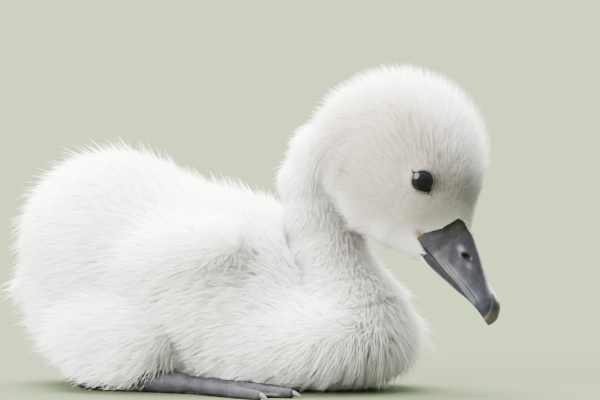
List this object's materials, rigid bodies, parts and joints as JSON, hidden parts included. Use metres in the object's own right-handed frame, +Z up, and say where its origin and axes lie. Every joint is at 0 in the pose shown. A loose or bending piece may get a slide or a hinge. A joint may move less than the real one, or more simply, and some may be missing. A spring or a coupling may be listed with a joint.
{
  "type": "mute swan cygnet",
  "caption": "Life-size downy cygnet resting on its belly, head bent down and ahead, bill near the ground.",
  "frame": {"origin": "on the floor, at the middle of the flat on which the belly rests", "axes": "+X the way the bird faces, +Y towards its left side, +Z up"},
  "size_m": [0.1662, 0.1012, 0.0999],
  "materials": {
    "down": "soft white down, faintly beige on the face",
    "bill_horn": "dark grey horn with a low satin gloss",
    "foot_skin": "scaly slate-grey skin",
    "eye": "wet near-black brown"
  },
  "bodies": {
    "root": {"head": "down", "neck": "down", "trunk": "down", "tail": "down", "wing_left": "down", "wing_right": "down", "leg_left": "down", "leg_right": "down", "foot_left": "foot_skin", "foot_right": "foot_skin", "bill_upper": "bill_horn", "bill_lower": "bill_horn", "eye_left": "eye", "eye_right": "eye"}
  },
  "joints": []
}
